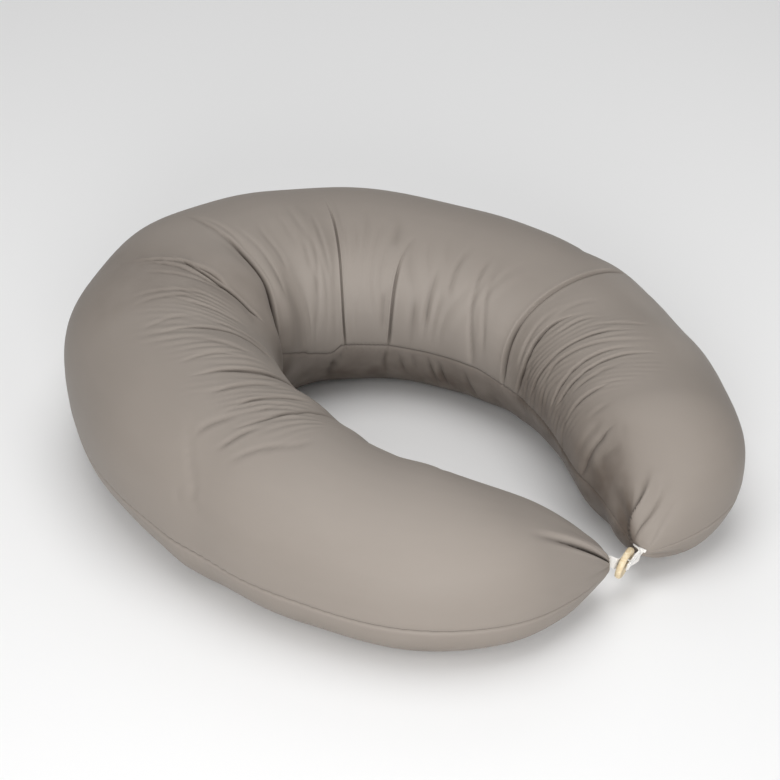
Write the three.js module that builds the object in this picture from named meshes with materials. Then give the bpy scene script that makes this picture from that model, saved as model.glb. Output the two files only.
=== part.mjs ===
// Nursing pillow insert: one long cushion bent into a nearly closed crescent, with a white cotton tab
// at each tip and a wooden button that joins them.
// Millimetres, +Z up. The pillow lies flat on its foot. The closed back of the crescent is towards +Y
// and its opening towards -Y. The origin is at the middle of the foot's outline, on the floor.
import * as THREE from "three";

// The cushion's middle line in plan, seen from above: angle from the middle of the back in degrees
// (negative towards the -X arm) and radius. Width and height are those of the stuffed tube there.
const STATIONS = [
  { angle: -175, radius: 248, width: 112, height: 122 },
  { angle: -160, radius: 233, width: 152, height: 130 },
  { angle: -140, radius: 223, width: 160, height: 134 },
  { angle: -115, radius: 202, width: 171, height: 142 },
  { angle: -85, radius: 192, width: 181, height: 155 },
  { angle: -55, radius: 214, width: 192, height: 168 },
  { angle: -25, radius: 245, width: 206, height: 176 },
  { angle: 0, radius: 257, width: 213, height: 177 },
  { angle: 25, radius: 238, width: 207, height: 170 },
  { angle: 55, radius: 207, width: 190, height: 161 },
  { angle: 85, radius: 190, width: 178, height: 155 },
  { angle: 115, radius: 190, width: 168, height: 147 },
  { angle: 140, radius: 208, width: 164, height: 142 },
  { angle: 160, radius: 238, width: 144, height: 134 },
  { angle: 176.6, radius: 256, width: 120, height: 124 },
];

// Each arm narrows over a length to a small blunt tip. Fullness 1 is a cone, 2 is round.
const NEAR_END = { length: 150, fullness: 1.55, tipWidth: 15, tipHeight: 13, tipLevel: 36 };
const FAR_END = { length: 88, fullness: 1.3, tipWidth: 15, tipHeight: 13, tipLevel: 37 };

// The tube's section: a rounded oval, its widest level a little under half its height, pressed flat
// below by its own weight.
const ROUNDNESS = 2.25;
const WIDEST_LEVEL = 0.49;
const PRESSED_IN = 0.07;

// Places round the section, in degrees: 0 is the outer side, 90 the crown, 180 the inner side that
// faces the hole, 270 the middle of the foot.
const INNER_SEAM = 192;
const OUTER_SEAM = 348;
const SEAM_DEPTH = 1.8;
const AROUND = [
  0, 12, 24, 36, 46, 56, 66, 75, 83, 90, 98, 106, 114, 122, 130, 138, 146, 154, 162, 170, 178, 185,
  INNER_SEAM - 2, INNER_SEAM, INNER_SEAM + 2, 202, 212, 226, 240, 255, 270, 285, 300, 316, 330, 339,
  OUTER_SEAM - 2, OUTER_SEAM, OUTER_SEAM + 2,
];

// The folds that run round the tube where it is bent. "at" is the place along the middle line on the
// crown, in millimetres from the middle of the back; "drift" is how far the fold has moved along by
// the foot of the inner side; it runs between two places round the section.
const FOLDS = [
  { at: -368, drift: -40, from: 62, to: 150, depth: 3.5, reach: 13 },
  { at: -332, drift: -55, from: 66, to: 165, depth: 4, reach: 12 },
  { at: -297, drift: -15, from: 74, to: 170, depth: 5.5, reach: 13 },
  { at: -259, drift: -22, from: 78, to: 175, depth: 4.5, reach: 12 },
  { at: -221, drift: -8, from: 74, to: 170, depth: 4.5, reach: 12 },
  { at: -112, drift: -62, from: 82, to: 150, depth: 9, reach: 15 },
  { at: -26, drift: -86, from: 46, to: 205, depth: 13, reach: 22 },
  { at: 106, drift: 0, from: 76, to: 212, depth: 11, reach: 17 },
  { at: 192, drift: -12, from: 98, to: 212, depth: 8, reach: 15 },
  { at: 256, drift: -6, from: 96, to: 170, depth: 4, reach: 18 },
  { at: 296, drift: 26, from: 98, to: 200, depth: 5.5, reach: 15 },
  { at: 384, drift: 2, from: 36, to: 200, depth: 10, reach: 19 },
  { at: 437, drift: -18, from: 96, to: 205, depth: 8, reach: 15 },
  { at: 484, drift: -30, from: 80, to: 185, depth: 5, reach: 12 },
  { at: 506, drift: -20, from: 84, to: 175, depth: 5, reach: 10 },
  { at: 529, drift: -18, from: 78, to: 172, depth: 6, reach: 12 },
  { at: 557, drift: -18, from: 92, to: 170, depth: 4.5, reach: 11 },
  { at: 604, drift: 14, from: 112, to: 200, depth: 6, reach: 20 },
];
const DRIFT_STARTS = 95;
const DRIFT_WHOLE = 165;
const DRIFT_KEPT_TO = 205;
const DRIFT_GONE = 265;
const FOLD_FADE = 24;

// The gathers that run along each arm's end into its tip: place round the section, depth, half width
// in degrees, and how far back from the tip they reach.
const NEAR_GATHERS = [
  { around: 46, depth: 8, spread: 15, reach: 95 },
  { around: 106, depth: 3.5, spread: 13, reach: 60 },
  { around: 154, depth: 4, spread: 13, reach: 65 },
  { around: 212, depth: 4, spread: 16, reach: 60 },
  { around: 300, depth: 3, spread: 18, reach: 50 },
  { around: 0, depth: 2.5, spread: 14, reach: 45 },
];
const FAR_GATHERS = [
  { around: 138, depth: 9, spread: 15, reach: 62 },
  { around: 88, depth: 3, spread: 9, reach: 46 },
  { around: 47, depth: 4, spread: 12, reach: 48 },
  { around: 185, depth: 3, spread: 14, reach: 50 },
  { around: 226, depth: 3.5, spread: 18, reach: 50 },
  { around: 316, depth: 3, spread: 16, reach: 45 },
];

// Columns of the cushion's surface: distances from a tip, and the widest step elsewhere.
const END_COLUMNS = [0, 4, 10, 18, 28, 40, 54, 70];
const WIDEST_STEP = 16;
const CLOSEST_STEP = 3.4;

// The closure. Each tab starts a small gap off its tip. The button is tipped in its thread.
const GAP = 0.35;
const TAB_THICKNESS = 1.4;
const NEAR_TAB_WIDTH = 12;
const FAR_TAB_WIDTH = 13;
const FAR_TAB_END_WIDTH = 8.5;
const TAB_STEPS = 24;
const SLIT = { width: 1.2, from: 12, to: 21 };
const BUTTON = { radius: 15, thickness: 5.6, rim: 1.8, holeRadius: 1.3, holeOffset: 5.2 };
const BUTTON_CENTRE = new THREE.Vector3(-6.6, -256.5, 33);
const BUTTON_FACING = new THREE.Vector3(0.285, -0.935, -0.22).normalize();

const cloth = new THREE.MeshStandardMaterial({ color: 0x9e968f, roughness: 0.72, metalness: 0 });
const nearTape = new THREE.MeshStandardMaterial({ color: 0xe6e4e2, roughness: 0.85, metalness: 0 });
const farTape = new THREE.MeshStandardMaterial({ color: 0xe8e6e3, roughness: 0.85, metalness: 0 });
const wood = new THREE.MeshStandardMaterial({ color: 0xdccfae, roughness: 0.5, metalness: 0 });

const radians = THREE.MathUtils.degToRad;
const clamp = THREE.MathUtils.clamp;
const ease = (value, start, end) => THREE.MathUtils.smoothstep(value, start, end);

// A smooth value between the stations, through each station's own.
function between(angle, column) {
  let i = STATIONS.findIndex((row) => row.angle > angle) - 1;
  if (i < 0) i = angle >= STATIONS.at(-1).angle ? STATIONS.length - 2 : 0;
  const slope = (a, b) => {
    const rise = STATIONS[b][column] - STATIONS[a][column];
    return rise / (STATIONS[b].angle - STATIONS[a].angle);
  };
  const tangent = (k) => {
    if (k === 0) return slope(0, 1);
    if (k === STATIONS.length - 1) return slope(k - 1, k);
    const before = STATIONS[k].angle - STATIONS[k - 1].angle;
    const after = STATIONS[k + 1].angle - STATIONS[k].angle;
    return (slope(k - 1, k) * after + slope(k, k + 1) * before) / (before + after);
  };
  const step = STATIONS[i + 1].angle - STATIONS[i].angle;
  const t = (angle - STATIONS[i].angle) / step;
  const t2 = t * t;
  const t3 = t2 * t;
  return (2 * t3 - 3 * t2 + 1) * STATIONS[i][column] + (t3 - 2 * t2 + t) * step * tangent(i)
    + (3 * t2 - 2 * t3) * STATIONS[i + 1][column] + (t3 - t2) * step * tangent(i + 1);
}

// The middle line walked in small steps: place in plan, direction, and distance from the middle of
// the back.
function walkMiddleLine() {
  const stepAngle = 0.1;
  const first = STATIONS[0].angle;
  const count = Math.round((STATIONS.at(-1).angle - first) / stepAngle);
  const line = [];
  for (let i = 0; i <= count; i += 1) {
    const angle = first + i * stepAngle;
    const radius = between(angle, "radius");
    const x = radius * Math.sin(radians(angle));
    const y = radius * Math.cos(radians(angle));
    const walked = i === 0 ? 0 : line[i - 1].walked + Math.hypot(x - line[i - 1].x, y - line[i - 1].y);
    line.push({ angle, x, y, walked });
  }
  const middle = line[Math.round(-first / stepAngle)].walked;
  line.forEach((point) => { point.walked -= middle; });
  return line;
}

const LINE = walkMiddleLine();
const NEAR_TIP = LINE[0].walked;
const FAR_TIP = LINE.at(-1).walked;

// Place, outward direction, width, height and widest level of the tube at a distance along the line.
function tubeAt(along) {
  const i = clamp(LINE.findIndex((point) => point.walked >= along), 1, LINE.length - 1);
  const [a, b] = [LINE[i - 1], LINE[i]];
  const t = clamp((along - a.walked) / (b.walked - a.walked), 0, 1);
  const angle = a.angle + (b.angle - a.angle) * t;
  const run = Math.hypot(b.x - a.x, b.y - a.y);
  const outward = { x: -(b.y - a.y) / run, y: (b.x - a.x) / run };
  const end = along < 0 ? NEAR_END : FAR_END;
  const fromTip = clamp(along < 0 ? along - NEAR_TIP : FAR_TIP - along, 0, end.length);
  const swell = (1 - (1 - fromTip / end.length) ** end.fullness) ** (1 / end.fullness);
  const width = end.tipWidth + (between(angle, "width") - end.tipWidth) * swell;
  const height = end.tipHeight + (between(angle, "height") - end.tipHeight) * swell;
  const level = WIDEST_LEVEL * height + (end.tipLevel - WIDEST_LEVEL * end.tipHeight) * (1 - swell);
  return { x: a.x + (b.x - a.x) * t, y: a.y + (b.y - a.y) * t, outward, width, height, level, fromTip };
}

// How far a fold's line has moved along by a place round the section.
function driftShare(around) {
  if (around <= DRIFT_KEPT_TO) return clamp((around - DRIFT_STARTS) / (DRIFT_WHOLE - DRIFT_STARTS), 0, 1);
  return 1 - ease(around, DRIFT_KEPT_TO, DRIFT_GONE);
}

// The drift of a column that lies between two folds.
function driftAt(at) {
  const rows = [{ at: NEAR_TIP, drift: 0 }, ...FOLDS, { at: FAR_TIP, drift: 0 }];
  const i = clamp(rows.findIndex((row) => row.at > at), 1, rows.length - 1);
  const share = (at - rows[i - 1].at) / (rows[i].at - rows[i - 1].at);
  return rows[i - 1].drift + (rows[i].drift - rows[i - 1].drift) * clamp(share, 0, 1);
}

// Inward depth of the folds: a sharp valley between two low swellings.
function foldDepth(at, around) {
  let depth = 0;
  for (const fold of FOLDS) {
    const across = Math.abs(at - fold.at) / fold.reach;
    const begun = ease(around, fold.from, fold.from + FOLD_FADE);
    const shown = begun * (1 - ease(around, fold.to - FOLD_FADE, fold.to));
    if (across > 3 || shown === 0) continue;
    const valley = Math.exp(-2.4 * across) - 0.24 * Math.exp(-6 * (across - 1.15) ** 2);
    depth += fold.depth * shown * valley;
  }
  return depth;
}

// Inward depth of the gathers near a tip.
function gatherDepth(near, fromTip, around) {
  let depth = 0;
  for (const gather of near ? NEAR_GATHERS : FAR_GATHERS) {
    const turn = Math.abs(((around - gather.around + 540) % 360) - 180) / gather.spread;
    const back = fromTip / gather.reach;
    if (back > 1 || turn > 2.5) continue;
    const along = Math.sin(Math.PI * Math.sqrt(back)) ** 1.2;
    depth += gather.depth * along * (Math.exp(-2 * turn) - 0.22 * Math.exp(-5 * (turn - 1.2) ** 2));
  }
  return depth;
}

// A point of the cushion's surface.
function surfacePoint(at, around) {
  const tube = tubeAt(clamp(at + driftAt(at) * driftShare(around), NEAR_TIP, FAR_TIP));
  const turn = radians(around);
  const rounded = (value) => Math.sign(value) * Math.abs(value) ** (2 / ROUNDNESS);
  const out = (rounded(Math.cos(turn)) * tube.width) / 2;
  const share = Math.sin(turn) > 0 ? 1 - WIDEST_LEVEL : WIDEST_LEVEL + PRESSED_IN;
  const up = rounded(Math.sin(turn)) * share * tube.height;
  const seam = around === INNER_SEAM || around === OUTER_SEAM ? SEAM_DEPTH : 0;
  const near = at < 0;
  const depth = foldDepth(at, around) + gatherDepth(near, tube.fromTip, around) + seam;
  const pull = 1 - Math.min(depth / Math.hypot(out, up), 0.45);
  const side = out * pull;
  return new THREE.Vector3(
    tube.x + tube.outward.x * side,
    tube.y + tube.outward.y * side,
    Math.max(tube.level + up * pull, 0),
  );
}

// Columns: one in the valley of each fold, some on its shoulders, more at the tips, and even steps
// between.
function columnPlaces() {
  const places = FOLDS.map((fold) => fold.at);
  const add = (place) => {
    if (places.every((other) => Math.abs(other - place) >= CLOSEST_STEP)) places.push(place);
  };
  END_COLUMNS.forEach((step) => {
    places.push(NEAR_TIP + step);
    places.push(FAR_TIP - step);
  });
  FOLDS.forEach((fold) => [-0.34, 0.34, -1, 1].forEach((step) => add(fold.at + step * fold.reach)));
  places.sort((a, b) => a - b);
  const columns = [places[0]];
  for (let i = 1; i < places.length; i += 1) {
    const gap = places[i] - places[i - 1];
    const parts = Math.ceil(gap / WIDEST_STEP);
    for (let k = 1; k <= parts; k += 1) columns.push(places[i - 1] + (gap * k) / parts);
  }
  return columns;
}

function cushionGeometry() {
  const columns = columnPlaces();
  const rows = AROUND.length;
  const points = [];
  columns.forEach((at) => AROUND.forEach((around) => points.push(surfacePoint(at, around))));
  const faces = [];
  for (let i = 0; i < columns.length - 1; i += 1) {
    for (let j = 0; j < rows; j += 1) {
      const next = (j + 1) % rows;
      const [a, b, c, d] = [i * rows + j, i * rows + next, (i + 1) * rows + next, (i + 1) * rows + j];
      faces.push(a, b, c, a, c, d);
    }
  }
  for (const last of [false, true]) {
    const start = last ? (columns.length - 1) * rows : 0;
    const centre = new THREE.Vector3();
    for (let j = 0; j < rows; j += 1) centre.addScaledVector(points[start + j], 1 / rows);
    points.push(centre);
    for (let j = 0; j < rows; j += 1) {
      const pair = [start + j, start + ((j + 1) % rows)];
      faces.push(points.length - 1, ...(last ? pair : pair.reverse()));
    }
  }
  return solid(points, faces);
}

function solid(points, faces) {
  const geometry = new THREE.BufferGeometry().setFromPoints(points);
  geometry.setIndex(faces);
  geometry.computeVertexNormals();
  return geometry;
}

// A flat tape bent along a path: stops give the middle of the tape, the direction across it and its
// width. A slit along its middle may be left open between two of its steps.
function tapeGeometry(stops, slit) {
  const path = new THREE.CatmullRomCurve3(stops.map((stop) => stop.place));
  const lanes = slit ? [-1, -0.5, -0.1, 0.1, 0.5, 1] : [-1, -0.5, 0, 0.5, 1];
  const points = [];
  for (let i = 0; i <= TAB_STEPS; i += 1) {
    const share = i / TAB_STEPS;
    const place = path.getPoint(share);
    const exact = share * (stops.length - 1);
    const from = Math.min(Math.floor(exact), stops.length - 2);
    const blend = exact - from;
    const across = stops[from].across.clone().lerp(stops[from + 1].across, blend);
    const along = path.getTangent(share);
    across.addScaledVector(along, -across.dot(along)).normalize();
    const normal = new THREE.Vector3().crossVectors(along, across).normalize();
    const half = THREE.MathUtils.lerp(stops[from].width, stops[from + 1].width, blend) / 2;
    for (const face of [1, -1]) {
      for (const lane of lanes) {
        const sideways = Math.abs(lane) === 0.1 ? Math.sign(lane) * slit.width / 2 : lane * half;
        const point = place.clone().addScaledVector(across, sideways);
        points.push(point.addScaledVector(normal, (face * TAB_THICKNESS) / 2));
      }
    }
  }
  const index = (i, face, lane) => (i * 2 + face) * lanes.length + lane;
  const isFilled = (i, lane) => {
    if (i < 0 || i >= TAB_STEPS || lane < 0 || lane >= lanes.length - 1) return false;
    return !(slit && lane === 2 && i >= slit.from && i < slit.to);
  };
  const faces = [];
  const quad = (a, b, c, d) => faces.push(a, b, c, a, c, d);
  const cell = (i, lane, face) => [
    index(i, face, lane), index(i + 1, face, lane), index(i + 1, face, lane + 1), index(i, face, lane + 1),
  ];
  for (let i = 0; i < TAB_STEPS; i += 1) {
    for (let lane = 0; lane < lanes.length - 1; lane += 1) {
      if (!isFilled(i, lane)) continue;
      const top = cell(i, lane, 0);
      const under = cell(i, lane, 1);
      quad(top[0], top[1], top[2], top[3]);
      quad(under[3], under[2], under[1], under[0]);
      if (!isFilled(i - 1, lane)) quad(top[0], top[3], under[3], under[0]);
      if (!isFilled(i + 1, lane)) quad(top[2], top[1], under[1], under[2]);
      if (!isFilled(i, lane - 1)) quad(top[1], top[0], under[0], under[1]);
      if (!isFilled(i, lane + 1)) quad(top[3], top[2], under[2], under[3]);
    }
  }
  return solid(points, faces);
}

// The button's own directions: across it (sideways), up it, and out of its face.
const FACE_UP = new THREE.Vector3(0, 0, 1).addScaledVector(BUTTON_FACING, -BUTTON_FACING.z).normalize();
const FACE_SIDE = new THREE.Vector3().crossVectors(FACE_UP, BUTTON_FACING).normalize();
const onButton = (side, up, out) => BUTTON_CENTRE.clone()
  .addScaledVector(FACE_SIDE, side).addScaledVector(FACE_UP, up).addScaledVector(BUTTON_FACING, out);

// The near tab runs from its tip behind the button; the far tab turns a quarter on its way from its
// tip and ends over the middle of the button's face.
function tabStops() {
  const offTip = (along, step) => {
    const tube = tubeAt(along);
    const forward = new THREE.Vector3(tube.outward.y, -tube.outward.x, 0);
    return new THREE.Vector3(tube.x, tube.y, tube.level).addScaledVector(forward, step * Math.sign(along));
  };
  const offFace = BUTTON.thickness / 2 + GAP + TAB_THICKNESS / 2;
  const upright = new THREE.Vector3(0, 0, 1);
  const level = new THREE.Vector3(0, 1, 0);
  const nearTab = [
    { place: offTip(NEAR_TIP, GAP), across: upright, width: NEAR_TAB_WIDTH },
    { place: offTip(NEAR_TIP, 4), across: upright, width: NEAR_TAB_WIDTH },
    { place: onButton(-6, 0.4, -offFace - 1.4), across: FACE_UP, width: NEAR_TAB_WIDTH },
    { place: onButton(0, 0, -offFace - 0.2), across: FACE_UP, width: NEAR_TAB_WIDTH },
    { place: onButton(6.5, 0, -offFace - 0.2), across: FACE_UP, width: NEAR_TAB_WIDTH },
  ];
  const turned = (share) => level.clone().lerp(FACE_UP, share);
  const farTab = [
    { place: offTip(FAR_TIP, GAP), across: turned(0.1), width: FAR_TAB_WIDTH },
    { place: offTip(FAR_TIP, 1.8), across: turned(0.4), width: FAR_TAB_WIDTH },
    { place: onButton(14.5, 3.4, offFace + 3), across: turned(0.85), width: FAR_TAB_WIDTH },
    { place: onButton(6, 0.4, offFace + 0.9), across: FACE_UP, width: FAR_TAB_WIDTH - 1 },
    { place: onButton(-3.5, 0, offFace + 0.1), across: FACE_UP, width: FAR_TAB_END_WIDTH },
  ];
  return { nearTab, farTab };
}

// A turned button with a rounded rim and two thread holes.
function buttonGeometry() {
  const outline = new THREE.Shape();
  outline.absarc(0, 0, BUTTON.radius - BUTTON.rim, 0, 2 * Math.PI, false);
  for (const side of [-1, 1]) {
    const hole = new THREE.Path();
    hole.absarc(0, side * BUTTON.holeOffset, BUTTON.holeRadius, 0, 2 * Math.PI, true);
    outline.holes.push(hole);
  }
  const geometry = new THREE.ExtrudeGeometry(outline, {
    depth: BUTTON.thickness - 2 * BUTTON.rim,
    bevelEnabled: true,
    bevelThickness: BUTTON.rim,
    bevelSize: BUTTON.rim,
    bevelSegments: 4,
    curveSegments: 18,
  });
  geometry.translate(0, 0, BUTTON.rim - BUTTON.thickness / 2);
  const place = new THREE.Matrix4().makeBasis(FACE_SIDE, FACE_UP, BUTTON_FACING).setPosition(BUTTON_CENTRE);
  geometry.applyMatrix4(place);
  return geometry;
}

const { nearTab, farTab } = tabStops();
const pieces = [
  ["cushion", cushionGeometry(), cloth],
  ["near_tab", tapeGeometry(nearTab, null), nearTape],
  ["far_tab", tapeGeometry(farTab, SLIT), farTape],
  ["button", buttonGeometry(), wood],
];

// The whole is moved so that the middle of its outline is over the origin.
const box = new THREE.Box3();
pieces.forEach(([, geometry]) => {
  geometry.computeBoundingBox();
  box.union(geometry.boundingBox);
});
const middle = box.getCenter(new THREE.Vector3());
const pillow = new THREE.Group();
pillow.name = "nursing_pillow_insert";
pieces.forEach(([name, geometry, material]) => {
  geometry.translate(-middle.x, -middle.y, 0);
  const mesh = new THREE.Mesh(geometry, material);
  mesh.name = name;
  pillow.add(mesh);
});

export default pillow;
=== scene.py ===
import math
import bpy
import numpy as np
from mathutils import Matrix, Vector


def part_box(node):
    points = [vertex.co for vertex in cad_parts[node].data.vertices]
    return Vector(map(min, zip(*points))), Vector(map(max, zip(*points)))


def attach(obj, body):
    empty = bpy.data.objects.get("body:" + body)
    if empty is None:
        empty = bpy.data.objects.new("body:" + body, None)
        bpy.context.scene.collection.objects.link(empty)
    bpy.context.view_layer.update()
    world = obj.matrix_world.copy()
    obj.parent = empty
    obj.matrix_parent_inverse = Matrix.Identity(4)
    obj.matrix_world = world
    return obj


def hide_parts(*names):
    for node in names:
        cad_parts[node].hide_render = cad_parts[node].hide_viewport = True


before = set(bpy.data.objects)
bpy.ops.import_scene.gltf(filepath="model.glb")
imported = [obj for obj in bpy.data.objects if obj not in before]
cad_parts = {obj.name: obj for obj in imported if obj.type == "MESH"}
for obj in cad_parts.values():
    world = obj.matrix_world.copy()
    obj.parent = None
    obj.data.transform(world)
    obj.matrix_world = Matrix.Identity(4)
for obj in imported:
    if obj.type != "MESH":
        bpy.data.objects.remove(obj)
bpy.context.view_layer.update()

# The view. A pale studio sweep under soft light from overhead and from the camera's side, seen
# from above the near arm with a long lens, as a catalogue picture of the pillow is taken.
LOOK_AT = Vector((0.0025, -0.0005, 0.075))
LOOK_FROM = (-45.0, 32.5, 2.05)
LENS = 100.0
FLOOR_SIDE = 14.0
SKY = 0.3
LAMPS = np.array([
    ("overhead", 0, 90, 2.525, 2.4, 30.5),
    ("low_front", -45, 14, 2.6, 1.2, 45.0),
    ("right_front", 0, 35, 2.6, 1.4, 3.5),
    ("near_left", -70, 45, 1.3, 0.8, 1.8),
    ("back", 135, 45, 2.6, 1.4, 6.0),
], dtype=[("name", "U12"), ("azimuth", float), ("elevation", float), ("away", float), ("size", float),
          ("watts", float)])


def put(name, data):
    """A new object in the scene that holds a mesh, a lamp or the camera."""
    holder = bpy.data.objects.new(name, data)
    bpy.context.collection.objects.link(holder)
    return holder


def towards(azimuth, elevation):
    """The direction from the pillow to a place round it, in degrees from the front and from level."""
    turn, rise = math.radians(azimuth), math.radians(elevation)
    return Vector((math.sin(turn) * math.cos(rise), -math.cos(turn) * math.cos(rise), math.sin(rise)))


camera = put("camera", bpy.data.cameras.new("camera"))
camera.data.lens = LENS
camera.data.clip_start = 0.05
camera.location = LOOK_AT + towards(*LOOK_FROM[:2]) * LOOK_FROM[2]
camera.rotation_euler = towards(*LOOK_FROM[:2]).to_track_quat("Z", "Y").to_euler()
bpy.context.scene.camera = camera
bpy.context.scene.view_settings.view_transform = "Standard"

sky = bpy.data.worlds.new("studio_sky")
sky.use_nodes = True
sky.node_tree.nodes["Background"].inputs["Color"].default_value = (1.0, 1.0, 1.0, 1.0)
sky.node_tree.nodes["Background"].inputs["Strength"].default_value = SKY
bpy.context.scene.world = sky
for name, azimuth, elevation, away, size, watts in LAMPS.tolist():
    light = bpy.data.lights.new(name, "AREA")
    light.shape = "DISK"
    light.size = size
    light.energy = watts
    holder = put(name, light)
    way = towards(azimuth, elevation)
    holder.location = LOOK_AT + way * away
    holder.rotation_euler = way.to_track_quat("Z", "Y").to_euler()


class Wire:
    """A socket's output, so that sums on it read as an expression and add Math nodes."""

    def __init__(self, finish, socket):
        self.finish = finish
        self.socket = socket

    def reckon(self, operation, *others):
        sockets = dict(enumerate((self, *others)))
        return self.finish.node("ShaderNodeMath", {"operation": operation}, sockets)

    def __add__(self, other):
        return self.reckon("ADD", other)

    def __sub__(self, other):
        return self.reckon("SUBTRACT", other)

    def __rsub__(self, other):
        return (self * -1.0).reckon("ADD", other)

    def __mul__(self, other):
        return self.reckon("MULTIPLY", other)

    def __pow__(self, other):
        return self.reckon("POWER", other)

    __radd__ = __add__
    __rmul__ = __mul__

    def sine(self):
        return self.reckon("SINE")

    def held(self, low, high):
        return self.reckon("MAXIMUM", low).reckon("MINIMUM", high)


class Finish:
    """A procedural material, put together node by node."""

    def __init__(self, name):
        self.material = bpy.data.materials.new(name)
        self.material.use_nodes = True
        self.tree = self.material.node_tree
        self.tree.nodes.clear()

    def node(self, kind, settings=None, sockets=None, output=0):
        made = self.tree.nodes.new(kind)
        for key, value in (settings or {}).items():
            setattr(made, key, value)
        for key, value in (sockets or {}).items():
            if isinstance(value, Wire):
                self.tree.links.new(value.socket, made.inputs[key])
            else:
                made.inputs[key].default_value = value
        return Wire(self, made.outputs[output]) if len(made.outputs) else made

    def blend(self, share, first, second):
        settings = {"data_type": "RGBA"}
        return self.node("ShaderNodeMix", settings, {"Factor": share, 6: first, 7: second}, output=2)

    def surface(self, **sockets):
        named = {key.replace("_", " "): value for key, value in sockets.items()}
        shader = self.node("ShaderNodeBsdfPrincipled", None, named)
        self.node("ShaderNodeOutputMaterial", None, {"Surface": shader})
        return self.material


PAPER_GREY = (0.88, 0.88, 0.88, 1.0)
PAPER_WHITE = (0.91, 0.91, 0.91, 1.0)
sweep = Finish("studio_paper")
paper = sweep.node("ShaderNodeTexNoise", None, {"Scale": 3.0, "Detail": 2.0})
paper_tone = sweep.blend(paper, PAPER_GREY, PAPER_WHITE)
half = FLOOR_SIDE / 2
floor_mesh = bpy.data.meshes.new("studio_floor")
floor_corners = [(-half, -half, 0), (half, -half, 0), (half, half, 0), (-half, half, 0)]
floor_mesh.from_pydata(floor_corners, [], [(0, 1, 2, 3)])
floor = put("studio_floor", floor_mesh)
floor.data.materials.append(sweep.surface(Base_Color=paper_tone, Roughness=0.9))

# The cushion. One long bag of smooth taupe cotton, stuffed with a loose filling and bent into a
# crescent. Its upper and under cloth meet in a plain seam low down on both sides, both ends are
# gathered to a small blunt tip, and the cloth inside the bend is thrown into folds.
MM = 0.001
# Stations on the middle line: their angle round the hole, from the middle of the back, and their
# distance from its centre, and how wide and high the tube is there. All lengths are millimetres.
STATIONS = np.array([
    (-175, 248, 112, 122),
    (-160, 233, 152, 130),
    (-140, 223, 160, 134),
    (-115, 202, 171, 142),
    (-85, 192, 181, 155),
    (-55, 214, 192, 168),
    (-25, 245, 206, 176),
    (0, 257, 213, 177),
    (25, 238, 207, 170),
    (55, 207, 190, 161),
    (85, 190, 178, 155),
    (115, 190, 168, 147),
    (140, 208, 164, 142),
    (160, 238, 144, 134),
    (176.6, 256, 120, 124),
], dtype=[("angle", float), ("radius", float), ("width", float), ("height", float)])
NEAR_END = {"length": 180, "fullness": 1.5, "level": 36}
FAR_END = {"length": 106, "fullness": 1.16, "level": 37}
TIP_WIDTH, TIP_HEIGHT = 15, 13
ROUNDNESS = 2.25
WIDEST_LEVEL = 0.49
PRESSED_IN = 0.07
# The two seams: their turn round the tube, and the pitch and the phase of their puckers.
SEAMS = np.array([
    (188, 7.5, 0.4),
    (348, 8.5, 1.7),
], dtype=[("around", float), ("pitch", float), ("phase", float)])
INNER_SEAM, OUTER_SEAM = SEAMS["around"]
SEAM_DEPTH, SEAM_HALF = 1.5, 0.8
PUCKER_DEPTH, PUCKER_REACH = 0.4, 4.2
SEAM_ROLL, ROLL_OFF, ROLL_REACH = 0.35, 4.0, 3.0
# How far up or down the inner seam wanders, in degrees, at places along the tube in millimetres.
SEAM_WANDER = np.array([
    (-200, 0), (-130, -7), (-99, -8), (-80, -6), (-35, -1), (40, 2.5), (70, 4.4), (82, 4.5), (88, 3),
    (96, 0.6), (102, 0), (150, 0), (260, 0.4), (300, -0.8), (330, -0.8), (360, 1), (394, 2), (450, 0),
], dtype=[("at", float), ("aside", float)])
WANDER_REACH = 22.0
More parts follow.
